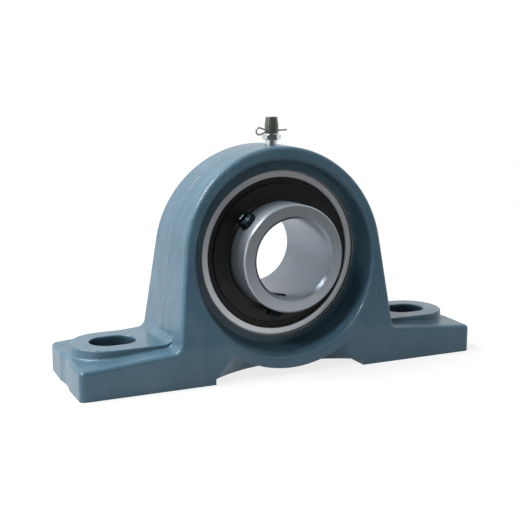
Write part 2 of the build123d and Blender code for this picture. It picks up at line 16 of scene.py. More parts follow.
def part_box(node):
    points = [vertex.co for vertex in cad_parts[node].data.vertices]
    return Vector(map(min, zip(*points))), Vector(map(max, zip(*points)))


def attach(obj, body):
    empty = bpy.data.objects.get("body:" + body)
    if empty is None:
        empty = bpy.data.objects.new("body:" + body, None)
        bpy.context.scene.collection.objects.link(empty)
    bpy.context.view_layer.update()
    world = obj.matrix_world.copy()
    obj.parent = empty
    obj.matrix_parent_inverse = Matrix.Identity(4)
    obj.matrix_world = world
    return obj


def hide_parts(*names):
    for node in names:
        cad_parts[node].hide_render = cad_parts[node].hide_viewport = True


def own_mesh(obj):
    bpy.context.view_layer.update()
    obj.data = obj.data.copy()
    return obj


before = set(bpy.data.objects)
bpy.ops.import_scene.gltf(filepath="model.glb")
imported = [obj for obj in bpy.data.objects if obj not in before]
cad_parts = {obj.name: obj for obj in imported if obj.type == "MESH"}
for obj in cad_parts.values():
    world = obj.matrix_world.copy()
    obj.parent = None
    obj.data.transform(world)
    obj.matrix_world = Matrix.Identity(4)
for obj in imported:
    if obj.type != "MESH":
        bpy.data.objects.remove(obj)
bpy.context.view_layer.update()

LOG = logging.getLogger("pillow_block")

MM = 0.001
SHAFT_HEIGHT = 67 * MM

Colour = tuple[float, float, float]
Point = tuple[float, float, float]
Band = tuple[float, float]
Number = Union[float, int]
Operand = Union["Signal", Number]

WHITE: Colour = (1.0, 1.0, 1.0)


# ------------------------------------------------------------------ shader graph
class Signal:
    """A number that varies over a surface: one output socket with Python's operators."""

    def __init__(self, graph: "Graph", socket: bpy.types.NodeSocket) -> None:
        """Wraps a socket.

        Args:
            graph: the graph that owns the socket.
            socket: an output socket that carries a number.
        """
        self.graph = graph
        self.socket = socket

    def _math(self, operation: str, *operands: Operand) -> "Signal":
        """Adds one Math node.

        Args:
            operation: the node's operation.
            operands: its inputs, in order.

        Returns:
            The node's output.
        """
        inputs = dict(enumerate(operands))
        node = self.graph.node("ShaderNodeMath", {"operation": operation}, inputs)
        return Signal(self.graph, node.outputs[0])

    def __add__(self, other: Operand) -> "Signal":
        """self + other."""
        return self._math("ADD", self, other)

    __radd__ = __add__

    def __sub__(self, other: Operand) -> "Signal":
        """self - other."""
        return self._math("SUBTRACT", self, other)

    def __rsub__(self, other: Operand) -> "Signal":
        """other - self."""
        return self._math("SUBTRACT", other, self)

    def __mul__(self, other: Operand) -> "Signal":
        """self * other."""
        return self._math("MULTIPLY", self, other)

    __rmul__ = __mul__

    def __abs__(self) -> "Signal":
        """Size without sign."""
        return self._math("ABSOLUTE", self)

    def sine(self) -> "Signal":
        """Sine of an angle in radians."""
        return self._math("SINE", self)

    def root(self) -> "Signal":
        """Square root."""
        return self._math("SQRT", self)

    def angle_to(self, other: Operand) -> "Signal":
        """Arctangent of self over other, all the way round."""
        return self._math("ARCTAN2", self, other)

    def larger(self, other: Operand) -> "Signal":
        """The larger of the two."""
        return self._math("MAXIMUM", self, other)

    def smaller(self, other: Operand) -> "Signal":
        """The smaller of the two."""
        return self._math("MINIMUM", self, other)

    def step(self, low: float, high: float) -> "Signal":
        """A soft step.

        Args:
            low: where the step starts, at 0.
            high: where it ends, at 1. It may lie below low, for a falling step.

        Returns:
            A number from 0 to 1.
        """
        ends = (0.0, 1.0) if low < high else (1.0, 0.0)
        node = self.graph.node(
            "ShaderNodeMapRange",
            {"interpolation_type": "SMOOTHSTEP"},
            {"Value": self, "From Min": min(low, high), "From Max": max(low, high),
             "To Min": ends[0], "To Max": ends[1]},
        )
        return Signal(self.graph, node.outputs["Result"])


@dataclass(frozen=True)
class Grain:
    """A cloudy noise: clouds per unit, finer layers, and how strong those layers are."""

    scale: float
    detail: float = 2.0
    roughness: float = 0.5


class Graph:
    """Builds the nodes of one material or world."""

    def __init__(self, tree: bpy.types.NodeTree) -> None:
        """Starts from an empty tree.

        Args:
            tree: the node tree to fill.
        """
        self.tree = tree
        tree.nodes.clear()

    def node(
        self,
        kind: str,
        settings: Mapping[str, Any] | None = None,
        inputs: Mapping[Union[str, int], Any] | None = None,
    ) -> bpy.types.Node:
        """Adds a node.

        Args:
            kind: the node's type name.
            settings: its properties, set before anything is linked.
            inputs: values or links by socket name or number.

        Returns:
            The new node.
        """
        node = self.tree.nodes.new(kind)
        for name, value in (settings or {}).items():
            setattr(node, name, value)
        for name, value in (inputs or {}).items():
            socket = node.inputs[name]
            if isinstance(value, Signal):
                self.tree.links.new(value.socket, socket)
            elif isinstance(value, bpy.types.NodeSocket):
                self.tree.links.new(value, socket)
            elif isinstance(value, tuple) and socket.type == "RGBA":
                socket.default_value = (*value, 1.0)
            else:
                socket.default_value = value
        return node

    def split(self, vector: bpy.types.NodeSocket) -> tuple[Signal, Signal, Signal]:
        """Takes a vector apart into x, y and z."""
        parts = self.node("ShaderNodeSeparateXYZ", inputs={0: vector})
        return tuple(Signal(self, socket) for socket in parts.outputs)

    def vector(self, x: Operand, y: Operand, z: Operand) -> bpy.types.NodeSocket:
        """Joins three numbers into a vector."""
        return self.node("ShaderNodeCombineXYZ", inputs={0: x, 1: y, 2: z}).outputs[0]

    def noise(self, vector: bpy.types.NodeSocket, grain: Grain) -> Signal:
        """Cloudy noise.

        Args:
            vector: where it is read.
            grain: how fine it is.

        Returns:
            A number around 0.5.
        """
        inputs = {
            "Vector": vector,
            "Scale": grain.scale,
            "Detail": grain.detail,
            "Roughness": grain.roughness,
        }
        return Signal(self, self.node("ShaderNodeTexNoise", inputs=inputs).outputs[0])

    def cells(self, vector: bpy.types.NodeSocket, scale: float) -> Signal:
        """Distance to the nearest of many scattered points."""
        node = self.node("ShaderNodeTexVoronoi", inputs={"Vector": vector, "Scale": scale})
        return Signal(self, node.outputs["Distance"])

    def blend(self, share: Operand, first: Any, second: Any) -> bpy.types.NodeSocket:
        """Mixes two colours.

        Args:
            share: how much of the second shows.
            first: a colour or colour socket.
            second: a colour or colour socket.

        Returns:
            The mixed colour.
        """
        node = self.node("ShaderNodeMix", {"data_type": "RGBA"}, {0: share, 6: first, 7: second})
        return node.outputs[2]

    def bump(
        self, height: Signal, depth: float, below: bpy.types.NodeSocket | None = None
    ) -> bpy.types.NodeSocket:
        """Bends the surface normal.

        Args:
            height: the relief, about 0 to 1.
            depth: what 1 is in metres.
            below: the normal of a coarser relief, or None.

        Returns:
            A normal.
        """
        inputs: dict[Union[str, int], Any] = {"Height": height, "Distance": depth, "Strength": 1.0}
        if below is not None:
            inputs["Normal"] = below
        return self.node("ShaderNodeBump", inputs=inputs).outputs[0]

    def surface(self, inputs: Mapping[Union[str, int], Any]) -> None:
        """Ends a material with a Principled surface.

        Args:
            inputs: values and links by socket name.
        """
        shader = self.node("ShaderNodeBsdfPrincipled", inputs=inputs)
        self.node("ShaderNodeOutputMaterial", inputs={"Surface": shader.outputs[0]})


class Place:
    """A point on the object, in the terms that its finishes use."""

    def __init__(self, graph: Graph) -> None:
        """Reads the point.

        Args:
            graph: the graph that uses it.
        """
        self.point = graph.node("ShaderNodeTexCoord").outputs["Object"]
        self.x, self.y, self.z = graph.split(self.point)

    def rise(self) -> Signal:
        """Height over the shaft's axis."""
        return self.z - SHAFT_HEIGHT

    def radius(self) -> Signal:
        """Distance from the shaft's axis."""
        rise = self.rise()
        return (self.x * self.x + rise * rise).root()

    def angle(self) -> Signal:
        """Angle round the shaft's axis."""
        return self.rise().angle_to(self.x)

    def from_centre(self) -> Signal:
        """Distance from the middle of the bearing."""
        rise = self.rise()
        return (self.x * self.x + self.y * self.y + rise * rise).root()

    def from_origin(self) -> Signal:
        """Distance along the floor from the middle of the base."""
        return (self.x * self.x + self.y * self.y).root()


def new_graph(name: str) -> tuple[bpy.types.Material, Graph]:
    """Makes an empty node material.

    Args:
        name: the material's name.

    Returns:
        The material and its graph.
    """
    material = bpy.data.materials.new(name)
    material.use_nodes = True
    return material, Graph(material.node_tree)


# ------------------------------------------------------------------ finishes
@dataclass(frozen=True)
class Effect:
    """How strongly a mark shows in the paint's colour, relief and roughness."""

    colour: float = 0.0
    relief: float = 0.0
    roughness: float = 0.0


@dataclass(frozen=True)
class Speckle:
    """Small round marks that come in patches."""

    scale: float
    size: Band
    patches: Grain
    share: Band

    def marks(self, graph: Graph, place: Place) -> Signal:
        """Where the marks are.

        Args:
            graph: the graph that uses them.
            place: the point on the object.

        Returns:
            1 in a mark and 0 beside it.
        """
        spots = graph.cells(place.point, self.scale).step(*self.size)
        return spots * graph.noise(place.point, self.patches).step(*self.share)


@dataclass(frozen=True)
class Enamel:
    """Slate-blue enamel over a sand casting, with the machined sole and seat left bare."""

    name: str = "enamel"
    colour: Colour = (0.060, 0.122, 0.168)
    faded: Colour = (0.078, 0.142, 0.186)
    deep: Colour = (0.046, 0.102, 0.146)
    # Painted shade: the recess walls inside the mouth are darkened towards this colour.
    shade: Colour = (0.020, 0.044, 0.062)
    # Painted shade: the walls inside the bolt slots are darkened towards this colour.
    slot_painted_shade: Colour = (0.006, 0.010, 0.014)
    chip: Colour = (0.012, 0.014, 0.016)
    # Pale colour of the rub marks, and painted highlight along the parting line.
    scuff_and_highlight: Colour = (0.200, 0.250, 0.280)
    iron: Colour = (0.30, 0.29, 0.28)
    dark_iron: Colour = (0.225, 0.2175, 0.21)

    # How fine each mark is, and where its noise starts and ends to show.
    cast: Grain = Grain(75, 3)
    cast_band: Band = (0.45, 0.8)
    cast_depth: float = 1.2 * MM
    clouds: Grain = Grain(24, 4)
    cloud_band: Band = (0.35, 0.7)
    peel: Grain = Grain(650)
    sand: Grain = Grain(2600)
    relief_depth: float = 0.20 * MM
    pits: Speckle = Speckle(150, (0.10, 0.05), Grain(30), (0.52, 0.62))
    grit: Speckle = Speckle(420, (0.14, 0.06), Grain(46), (0.55, 0.66))
    rub: Grain = Grain(480)
    rub_along: float = 0.25
    rub_up: float = 2.2
    rub_band: Band = (0.70, 0.78)
    rub_patches: Grain = Grain(38)
    rub_share: Band = (0.56, 0.66)
    seam_half: float = 0.9 * MM
    seam_breaks: Grain = Grain(160)
    seam_band: Band = (0.35, 0.6)
    seam_foot: Band = (22 * MM, 26 * MM)

    # Where the machined places, the recess with painted shade and the slots with painted shade are, and
    # how soft their edges are.
    sole: float = 0.04 * MM
    seat: float = 50.4 * MM
    seat_edge: float = 0.1 * MM
    mouth: float = 54.5 * MM
    mouth_edge: float = 1.0 * MM
    pad_top: float = 22.4 * MM
    pad_edge: float = 0.15 * MM
    slot_middle: float = 95 * MM
    slot_half_long: float = 13.2 * MM
    slot_half_wide: float = 10.2 * MM
    slot_edge: float = 0.2 * MM
    slot_depths: Band = (0.3 * MM, 2.5 * MM)

    # How strongly each of them shows.
    cast_shows: Effect = Effect(colour=0.6)
    cloud_shows: Effect = Effect(roughness=0.10)
    peel_shows: Effect = Effect(relief=0.8, roughness=0.12)
    sand_shows: Effect = Effect(relief=0.3)
    pit_shows: Effect = Effect(colour=1.0, relief=-1.4, roughness=0.25)
    grit_shows: Effect = Effect(colour=0.7, relief=-0.5)
    rub_shows: Effect = Effect(colour=0.5, roughness=0.15)
    seam_and_highlight_shows: Effect = Effect(colour=0.45, relief=1.6)
    recess_shade_share: float = 0.62
    recess_shade_clouds: float = 0.3
    slot_shade_share: float = 0.6

    roughness: float = 0.36
    specular: float = 0.25
    coat: float = 0.20
    pad_coat: float = 0.10
    slot_dulls: float = 0.8
    coat_roughness: float = 0.045
    mill: Grain = Grain(60, 3)
    mill_across: float = 40.0
    mill_band: Band = (0.3, 0.7)
    iron_roughness: float = 0.38
    iron_metallic: float = 0.9

    def rubs(self, graph: Graph, place: Place) -> Signal:
        """Pale rub marks, longest along Y.

        Args:
            graph: the graph that uses them.
            place: the point on the object.

        Returns:
            1 in a mark and 0 beside it.
        """
        stretched = graph.vector(place.x, place.y * self.rub_along, place.z * self.rub_up)
        marks = graph.noise(stretched, self.rub).step(*self.rub_band)
        return marks * graph.noise(place.point, self.rub_patches).step(*self.rub_share)

    def seam_and_highlight(self, graph: Graph, place: Place) -> Signal:
        """The mould's parting line over the top, broken here and there: a real ridge, with a pale line
        of painted highlight on it.

        Args:
            graph: the graph that uses it.
            place: the point on the object.

        Returns:
            1 on the line and 0 beside it.
        """
        line = abs(place.y).step(self.seam_half, 0)
        breaks = graph.noise(place.point, self.seam_breaks).step(*self.seam_band)
        return line * breaks * place.z.step(*self.seam_foot)

    def machined(self, place: Place) -> Signal:
        """Where the casting is bare: the sole and the seat of the insert."""
        sole = place.z.step(2 * self.sole, self.sole)
        return sole.larger(place.from_centre().step(self.seat, self.seat - self.seat_edge))

    def in_slots(self, place: Place) -> Signal:
        """Inside the bolt slots, below the tops of the pads."""
        from_middle = abs(abs(place.x) - self.slot_middle)
        along = from_middle.step(self.slot_half_long + self.slot_edge, self.slot_half_long)
        across = abs(place.y).step(self.slot_half_wide + self.slot_edge, self.slot_half_wide)
        start, end = (self.pad_top - depth for depth in self.slot_depths)
        return along * across * place.z.step(start, end)

    def on_pads(self, place: Place) -> Signal:
        """On the flat tops of the pads."""
        from_below = place.z.step(self.pad_top - self.pad_edge, self.pad_top)
        return from_below * place.z.step(self.pad_top + self.pad_edge, self.pad_top)

    def build(self) -> bpy.types.Material:
        """Makes the material."""
        material, graph = new_graph(self.name)
        place = Place(graph)
        cast = graph.noise(place.point, self.cast)
        peel = graph.noise(place.point, self.peel)
        sand = graph.noise(place.point, self.sand)
        clouds = graph.noise(place.point, self.clouds)
        pits = self.pits.marks(graph, place)
        grit = self.grit.marks(graph, place)
        rubs = self.rubs(graph, place)
        seam_and_highlight = self.seam_and_highlight(graph, place)
        bare = self.machined(place)
        slotted = self.in_slots(place)
        mouth = place.radius().step(self.mouth + self.mouth_edge, self.mouth)

        paint = graph.blend(clouds.step(*self.cloud_band), self.deep, self.colour)
        paint = graph.blend(cast.step(*self.cast_band) * self.cast_shows.colour, paint, self.faded)
        # Painted shade: the recess walls inside the mouth are darkened, as if shade fell there.
        paint = graph.blend(mouth * (self.recess_shade_share + self.recess_shade_clouds * clouds), paint, self.shade)
        # Painted shade: the walls inside the bolt slots are darkened, as if shade fell there.
        paint = graph.blend(slotted * self.slot_shade_share, paint, self.slot_painted_shade)
        # Painted highlight: the parting line is paled, standing for a bright streak of light along the
        # crown. Its relief below is a real ridge.
        paint = graph.blend(seam_and_highlight * self.seam_and_highlight_shows.colour, paint, self.scuff_and_highlight)
        paint = graph.blend(rubs * self.rub_shows.colour, paint, self.scuff_and_highlight)
        chips = pits * self.pit_shows.colour + grit * self.grit_shows.colour
        paint = graph.blend(chips.smaller(1.0), paint, self.chip)
        mill_place = graph.vector(place.x, place.y * self.mill_across, place.z)
        mill = graph.noise(mill_place, self.mill).step(*self.mill_band)
        metal = graph.blend(mill, self.dark_iron, self.iron)

        relief = (
            peel * self.peel_shows.relief
            + sand * self.sand_shows.relief
            + seam_and_highlight * self.seam_and_highlight_shows.relief
            + pits * self.pit_shows.relief
            + grit * self.grit_shows.relief
        )
        rough = (
            self.roughness
            + self.cloud_shows.roughness * (clouds - 0.5)
            + self.peel_shows.roughness * (peel - 0.5)
            + self.pit_shows.roughness * pits
            + self.rub_shows.roughness * rubs
        )
        coat = self.coat + self.pad_coat * self.on_pads(place)
        graph.surface({
            "Base Color": graph.blend(bare, paint, metal),
            "Roughness": rough * (1 - bare) + self.iron_roughness * bare,
            "Metallic": bare * self.iron_metallic,
            "Normal": graph.bump(relief, self.relief_depth, graph.bump(cast, self.cast_depth)),
            "Specular IOR Level": self.specular,
            "Coat Roughness": self.coat_roughness,
            "Coat Weight": (1 - bare) * (1 - self.slot_dulls * slotted) * coat,
        })
        return material


class Lay(Enum):
    """Which way the marks of the last machining run."""

    ROUND_SHAFT = "round the shaft"
    POLISHED = "none"


@dataclass(frozen=True)
class Lines:
    """Marks that run round the shaft: their noise, and how close they are across and along it."""

    grain: Grain
    per_metre: float
    per_radian: float
    roughness: float
    relief: float

    def marks(self, graph: Graph, place: Place) -> Signal:
        """Where the marks are.

        Args:
            graph: the graph that uses them.
            place: the point on the object.

        Returns:
            A number around 0.5.
        """
        out, along = place.radius() * self.per_metre, place.y * self.per_metre
        return graph.noise(graph.vector(out, along, place.angle() * self.per_radian), self.grain)


@dataclass(frozen=True)
class Steel:
    """Ground, turned or polished steel."""

    name: str
    colour: Colour
    tint: Colour
    roughness: float
    lay: Lay = Lay.ROUND_SHAFT
    turned_colour: Colour = (0.33, 0.38, 0.42)
    turned_roughness: float = 0.30
    turned_from: float = 30.2 * MM
    turned_edge: float = 0.2 * MM
    # Painted shade: the bore is darker and bluer than the rest of the ring, for the darker reflections
    # inside it.
    bore_painted_shade: Colour = (0.19, 0.225, 0.265)
    bore: float = 23.9 * MM
    bore_edge: float = 0.1 * MM
    blotch: Grain = Grain(55, 4, 0.6)
    blotch_roughness: float = 0.06
    stain_band: Band = (0.42, 0.75)
    stain: float = 0.35
    fine: Lines = Lines(Grain(1, 3, 0.65), 5200, 3, roughness=0.16, relief=0.7)
    coarse: Lines = Lines(Grain(1), 900, 1.5, roughness=0.10, relief=0.3)
    line_depth: float = 0.030 * MM
    polish: Grain = Grain(900)
    polish_roughness: float = 0.06
    polish_depth: float = 0.0032 * MM

    def build(self) -> bpy.types.Material:
        """Makes the material."""
        material, graph = new_graph(self.name)
        place = Place(graph)
        blotch = graph.noise(place.point, self.blotch)
        if self.lay is Lay.ROUND_SHAFT:
            fine = self.fine.marks(graph, place)
            coarse = self.coarse.marks(graph, place)
            radius = place.radius()
            turned = radius.step(self.turned_from, self.turned_from + self.turned_edge)
            bored = radius.step(self.bore + self.bore_edge, self.bore)
            # Painted shade: the bore gets a darker, bluer colour for its darker reflections.
            clean = graph.blend(bored, self.colour, self.bore_painted_shade)
            clean = graph.blend(turned, clean, self.turned_colour)
            rough = (
                self.roughness
                + (self.turned_roughness - self.roughness) * turned
                + self.fine.roughness * (fine - 0.5)
                + self.coarse.roughness * (coarse - 0.5)
                + self.blotch_roughness * blotch
            )
            relief = fine * self.fine.relief + coarse * self.coarse.relief
            normal = graph.bump(relief, self.line_depth)
        else:
            polish = graph.noise(place.point, self.polish)
            clean = self.colour
            rough = self.roughness + self.polish_roughness * (polish - 0.5)
            normal = graph.bump(polish, self.polish_depth)
        stain = blotch.step(*self.stain_band) * self.stain
        graph.surface({
            "Base Color": graph.blend(stain, clean, self.tint),
            "Roughness": rough,
            "Metallic": 1.0,
            "Normal": normal,
        })
        return material


@dataclass(frozen=True)
class Coated:
    """A dark coat on a turned or moulded piece that is round about the shaft."""

    name: str
    colour: Colour
    worn: Colour
    roughness: float
    rib_pitch: float
    rib_depth: float
    specular: float = 0.25
    film: Grain = Grain(90, 4, 0.6)
    film_band: Band = (0.45, 0.8)
    film_roughness: float = 0.16
    dust: float = 0.25
    speck: Grain = Grain(1500)
    swirl: Grain = Grain(1, 3)
    swirl_roughness: float = 0.10
    swirls_outward: float = 2600.0
    swirls_round: float = 4.0
    swirls_along: float = 400.0
    relief_shares: tuple[float, float, float] = (0.6, 0.25, 0.15)

    def build(self) -> bpy.types.Material:
        """Makes the material."""
        material, graph = new_graph(self.name)
        place = Place(graph)
        radius = place.radius()
        film = graph.noise(place.point, self.film)
        specks = graph.noise(place.point, self.speck)
        out, along = radius * self.swirls_outward, place.y * self.swirls_along
        swirl = graph.noise(graph.vector(out, place.angle() * self.swirls_round, along), self.swirl)
        ribs = (radius * (2 * pi / self.rib_pitch)).sine() * 0.5 + 0.5
        of_ribs, of_swirl, of_specks = self.relief_shares
        relief = ribs * of_ribs + swirl * of_swirl + specks * of_specks
        graph.surface({
            "Base Color": graph.blend(film.step(*self.film_band) * self.dust, self.colour, self.worn),
            "Roughness": (
                self.roughness
                + self.film_roughness * (film - 0.5)
                + self.swirl_roughness * (swirl - 0.5)
            ),
            "Specular IOR Level": self.specular,
            "Normal": graph.bump(relief, self.rib_depth),
        })
        return material


@dataclass(frozen=True)
class SmallPart:
    """Plated, blackened or moulded finish of a small part."""

    name: str
    colour: Colour
    worn: Colour
    roughness: float
    metallic: float
    coat: float = 0.0
    patch: Grain = Grain(420, 4, 0.6)
    patch_band: Band = (0.35, 0.7)
    patch_roughness: float = 0.22
    patch_relief: float = 0.4
    mottle: float = 0.5
    grain: Grain = Grain(1800)
    grain_roughness: float = 0.08
    grain_relief: float = 0.6
    relief_depth: float = 0.012 * MM

    def build(self) -> bpy.types.Material:
        """Makes the material."""
        material, graph = new_graph(self.name)
        place = Place(graph)
        patches = graph.noise(place.point, self.patch)
        grain = graph.noise(place.point, self.grain)
        worn = patches.step(*self.patch_band) * self.mottle
        relief = grain * self.grain_relief + patches * self.patch_relief
        graph.surface({
            "Base Color": graph.blend(worn, self.colour, self.worn),
            "Roughness": (
                self.roughness
                + self.patch_roughness * (patches - 0.5)
                + self.grain_roughness * (grain - 0.5)
            ),
            "Metallic": self.metallic,
            "Coat Weight": self.coat,
            "Normal": graph.bump(relief, self.relief_depth),
        })
        return material


ENAMEL = Enamel()
OUTER_STEEL = Steel(
    "outer_ring_steel", (0.45, 0.47, 0.50), (0.34, 0.34, 0.34), 0.32, turned_colour=(0.45, 0.47, 0.50)
)
INNER_STEEL = Steel(
    "inner_ring_steel", (0.31, 0.345, 0.375), (0.24, 0.25, 0.26), 0.29, turned_roughness=0.52
)
BALL_STEEL = Steel("ball_steel", (0.66, 0.67, 0.68), (0.6, 0.6, 0.6), 0.10, Lay.POLISHED)
CAGE_STEEL = SmallPart("cage_steel", (0.42, 0.42, 0.41), (0.34, 0.33, 0.31), 0.42, 1.0)
RUBBER = Coated("seal_rubber", (0.010, 0.009, 0.009), (0.020, 0.016, 0.014), 0.50, 0.9 * MM, 0.05 * MM)
FLINGER = Coated("flinger_coat", (0.010, 0.009, 0.009), (0.026, 0.020, 0.016), 0.36, 1.6 * MM, 0.02 * MM)
BLACK_OXIDE = SmallPart("black_oxide", (0.012, 0.026, 0.032), (0.030, 0.044, 0.048), 0.26, 0.85)
ZINC = SmallPart("zinc_plate", (0.62, 0.67, 0.70), (0.48, 0.52, 0.54), 0.14, 1.0)
SPRING_STEEL = SmallPart("spring_steel", (0.40, 0.40, 0.40), (0.30, 0.30, 0.29), 0.30, 1.0)
OLIVE = SmallPart("olive_plastic", (0.050, 0.062, 0.048), (0.034, 0.040, 0.026), 0.20, 0.0, coat=0.6)
PIN_WIRE = SmallPart("pin_wire", (0.30, 0.30, 0.27), (0.14, 0.13, 0.10), 0.28, 1.0)


# ------------------------------------------------------------------ making pieces
def clothe(names: Sequence[str], material: bpy.types.Material) -> None:
    """Gives solids of the frame a material.

    Args:
        names: the solids' names.
        material: what they get in every slot.
    """
    for name in names:
        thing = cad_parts[name]
        if not thing.material_slots:
            thing.data.materials.append(material)
        for slot in thing.material_slots:
            slot.material = material
        LOG.info("%s is finished in %s", name, material.name)


def mesh_piece(
    name: str,
    points: Sequence[Point],
    faces: Sequence[Sequence[int]],
    place: Matrix,
    material: bpy.types.Material,
) -> bpy.types.Object:
    """Makes one mesh object.

    Args:
        name: the object's name.
        points: its points, in the piece's own axes.
        faces: point numbers of each face.
        place: where the piece's own axes are in the frame.
        material: its finish.

    Returns:
        The object.
    """
    mesh = bpy.data.meshes.new(name)
    mesh.from_pydata([place @ Vector(point) for point in points], [], [tuple(face) for face in faces])
    mesh.validate()
    mesh.materials.append(material)
    thing = bpy.data.objects.new(name, mesh)
    bpy.context.scene.collection.objects.link(thing)
    return thing


def smooth(thing: bpy.types.Object, sharp: float) -> None:
    """Shades a piece smooth.

    Args:
        thing: the piece.
        sharp: edges that turn by more than this many degrees stay sharp.
    """
    thing.data.shade_smooth()
    thing.data.set_sharp_from_angle(angle=radians(sharp))


def tube_faces(rows: int, columns: int) -> list[list[int]]:
    """Joins rows of points, each a closed ring, with quads.

    Args:
        rows: how many rings there are.
        columns: how many points each has.

    Returns:
        Point numbers of each face.
    """
    faces: list[list[int]] = []
    for low in range(0, (rows - 1) * columns, columns):
        high = low + columns
        for column in range(columns):
            after = (column + 1) % columns
            faces.append([low + column, low + after, high + after, high + column])
    return faces


# ------------------------------------------------------------------ sub-assemblies
@dataclass(frozen=True)
class Housing:
    """The casting."""

    nodes: tuple[str, ...] = ("housing",)

    def dress(self) -> None:
        """Gives the casting its enamel."""
        clothe(self.nodes, ENAMEL.build())


@dataclass(frozen=True)
class Insert:
    """The insert bearing: rings, balls, cage, seals and flingers."""

    cage: tuple[str, ...] = ("cage_front", "cage_rear", "cage_rivets")
    seals: tuple[str, ...] = ("seal_front", "seal_rear")
    flingers: tuple[str, ...] = ("flinger_front", "flinger_rear")
    balls: int = 8

    def dress(self) -> None:
        """Gives each piece its finish."""
        clothe(["outer_ring"], OUTER_STEEL.build())
        clothe(["inner_ring"], INNER_STEEL.build())
        clothe([f"ball_{number + 1}" for number in range(self.balls)], BALL_STEEL.build())
        clothe(self.cage, CAGE_STEEL.build())
        clothe(self.seals, RUBBER.build())
        clothe(self.flingers, FLINGER.build())


@dataclass(frozen=True)
class SetScrew:
    """A socket set screw with a rolled thread and a cup point."""

    number: int
    angle: float
    station: float = -23 * MM
    tip: float = 22.8 * MM
    length: float = 12 * MM
    radius: float = 4.99 * MM
    pitch: float = 1.5 * MM
    thread_depth: float = 0.80 * MM
    flank_slope: float = 2.6
    crest: float = 0.12
    chamfer: float = 1.2 * MM
    cup_radius: float = 2.5 * MM
    cup_floor: float = 0.5 * MM
    cup_depth: float = 1.4 * MM
    socket_flats: float = 5 * MM
    socket_depth: float = 5 * MM
    socket_lead: float = 0.35 * MM
    drill_point: float = 1.25 * MM
    row_height: float = 0.1 * MM
    columns: int = 72
    sharp: float = 28.0

    def place(self) -> Matrix:
        """The screw's own axes: +Z out along it, from its tip."""
        outward = Vector((cos(radians(self.angle)), 0, sin(radians(self.angle))))
        side = Vector((0, 1, 0))
        across = outward.cross(side)
        turn = Matrix((side, across, outward)).transposed().to_4x4()
        centre = Vector((0, self.station, SHAFT_HEIGHT)) + outward * self.tip
        return Matrix.Translation(centre) @ turn

    def thread_radius(self, height: float, angle: float) -> float:
        """Radius of the threaded surface.

        Args:
            height: distance from the tip.
            angle: angle round the screw, in radians.

        Returns:
            The radius there.
        """
        phase = (height / self.pitch - angle / (2 * pi)) % 1.0
        ridge = min(1.0, max(0.0, self.flank_slope * abs(phase - 0.5) - self.crest))
        threaded = self.radius - self.thread_depth * ridge
        from_end = min(height, self.length - height)
        cone = self.radius - self.chamfer + from_end
        return min(threaded, cone)

    def socket_radius(self, angle: float, flats: float) -> float:
        """Radius of a hexagon at an angle.

        Args:
            angle: angle round the screw, in radians.
            flats: the hexagon's width across flats.

        Returns:
            Distance from the axis to its side.
        """
        sixth = pi / 3
        off_flat = (angle + sixth / 2) % sixth - sixth / 2
        return flats / 2 / cos(off_flat)

    def profile(self, angle: float) -> list[tuple[float, float]]:
        """The screw's section at one angle, from the cup over the thread to the socket's floor.

        Args:
            angle: angle round the screw, in radians.

        Returns:
            Radius and height of each point.
        """
        count = round(self.length / self.row_height)
        heights = [self.length * row / count for row in range(count + 1)]
        lead = self.socket_radius(angle, self.socket_flats + 2 * self.socket_lead)
        hexagon = self.socket_radius(angle, self.socket_flats)
        return [
            (self.cup_floor, self.cup_depth),
            (self.cup_radius, 0.0),
            *((self.thread_radius(height, angle), height) for height in heights),
            (lead, self.length),
            (hexagon, self.length - self.socket_lead),
            (hexagon, self.length - self.socket_depth),
        ]

    def build(self, material: bpy.types.Material) -> bpy.types.Object:
        """Makes the screw.

        Args:
            material: its finish.

        Returns:
            The screw, riding on its own body.
        """
        angles = [2 * pi * column / self.columns for column in range(self.columns)]
        rows = list(zip(*(self.profile(angle) for angle in angles)))
        points = [(r * cos(a), r * sin(a), z) for row in rows for (r, z), a in zip(row, angles)]
        faces = tube_faces(len(rows), self.columns)
        last = (len(rows) - 1) * self.columns
        bottom, top = len(points), len(points) + 1
        points += [(0, 0, self.cup_depth), (0, 0, self.length - self.socket_depth - self.drill_point)]
        for column in range(self.columns):
            after = (column + 1) % self.columns
            faces.append([after, column, bottom])
            faces.append([last + column, last + after, top])
        screw = mesh_piece(f"threaded_screw_{self.number}", points, faces, self.place(), material)
        smooth(screw, self.sharp)
        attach(screw, f"screw_{self.number}_body")
        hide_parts(f"set_screw_{self.number}")
        LOG.info("%s stands for set_screw_%d", screw.name, self.number)
        return screw


